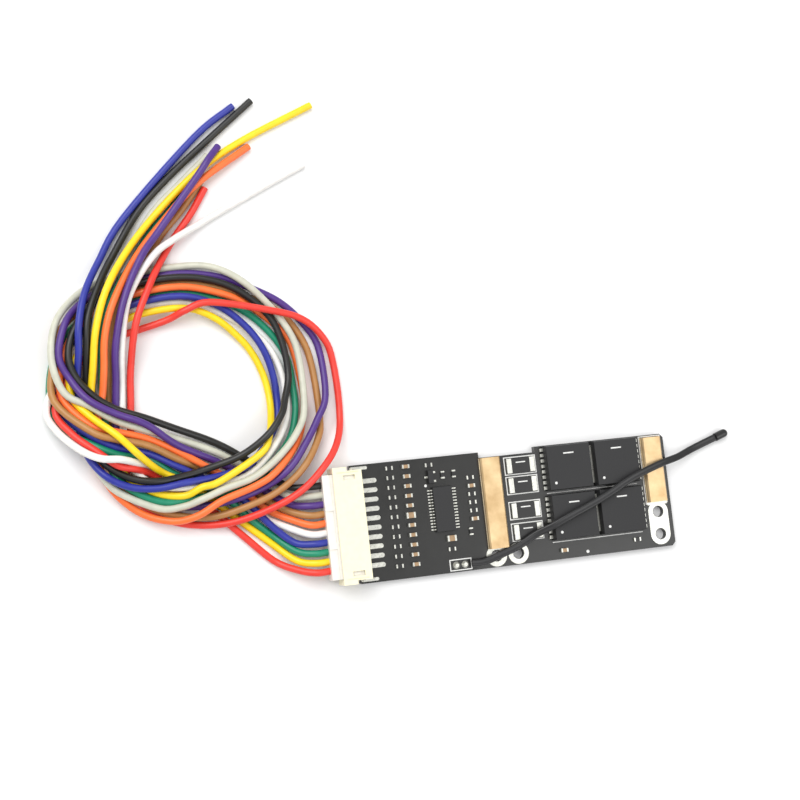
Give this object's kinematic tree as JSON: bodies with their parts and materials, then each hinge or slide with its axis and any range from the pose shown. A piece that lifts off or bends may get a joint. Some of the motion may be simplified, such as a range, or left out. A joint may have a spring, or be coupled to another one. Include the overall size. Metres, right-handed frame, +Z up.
{
  "type": "battery management board",
  "caption": "Flat battery management board with power transistors, current shunts, copper bus bars, a side-entry header with its plugged balance harness and a temperature probe.",
  "frame": {"origin": "middle of the board and its header, on the board's underside", "axes": "+X along the board away from the header, +Y towards the notched edge, +Z up out of the component side"},
  "size_m": [0.1511, 0.1062, 0.0093],
  "materials": {
    "solder_mask": "black solder mask",
    "tin": "bright solder",
    "copper": "tinned copper bar",
    "ivory_nylon": "moulded nylon",
    "white_nylon": "moulded nylon",
    "epoxy": "moulded epoxy",
    "resistor_glaze": "glazed",
    "ceramic": "ceramic",
    "probe_black": "insulated",
    "lead_black": "soft insulation",
    "lead_grey": "soft insulation",
    "lead_purple": "soft insulation",
    "lead_brown": "soft insulation",
    "lead_orange": "soft insulation",
    "lead_white": "soft insulation",
    "lead_blue": "soft insulation",
    "lead_green": "soft insulation",
    "lead_yellow": "soft insulation",
    "lead_red": "soft insulation"
  },
  "bodies": {
    "root": {"pcb": "solder_mask", "terminal_lands": "tin", "header_lands": "tin", "bus_bar_battery": "copper", "bus_bar_pack": "copper", "header_housing": "ivory_nylon", "header_contacts": "tin", "header_tabs": "tin", "plug_housing": "white_nylon", "crimp_terminals": "tin", "fet_body_1": "epoxy", "fet_body_2": "epoxy", "fet_body_3": "epoxy", "fet_body_4": "epoxy", "fet_frame_1": "tin", "fet_frame_2": "tin", "fet_frame_3": "tin", "fet_frame_4": "tin", "shunt_body_1": "resistor_glaze", "shunt_body_2": "resistor_glaze", "shunt_body_3": "resistor_glaze", "shunt_body_4": "resistor_glaze", "shunt_terminals": "tin", "chip_body": "epoxy", "chip_legs": "tin", "sot_body": "epoxy", "sot_legs": "tin", "resistors": "resistor_glaze", "resistor_ends": "tin", "capacitors": "ceramic", "capacitor_ends": "tin", "big_capacitors": "ceramic", "big_capacitor_ends": "tin", "probe_joints": "tin", "probe_lead": "probe_black", "probe_bead": "probe_black", "lead_black": "lead_black", "lead_grey": "lead_grey", "lead_purple": "lead_purple", "lead_brown": "lead_brown", "lead_orange": "lead_orange", "lead_white": "lead_white", "lead_blue": "lead_blue", "lead_green": "lead_green", "lead_yellow": "lead_yellow", "lead_red": "lead_red"}
  },
  "joints": []
}
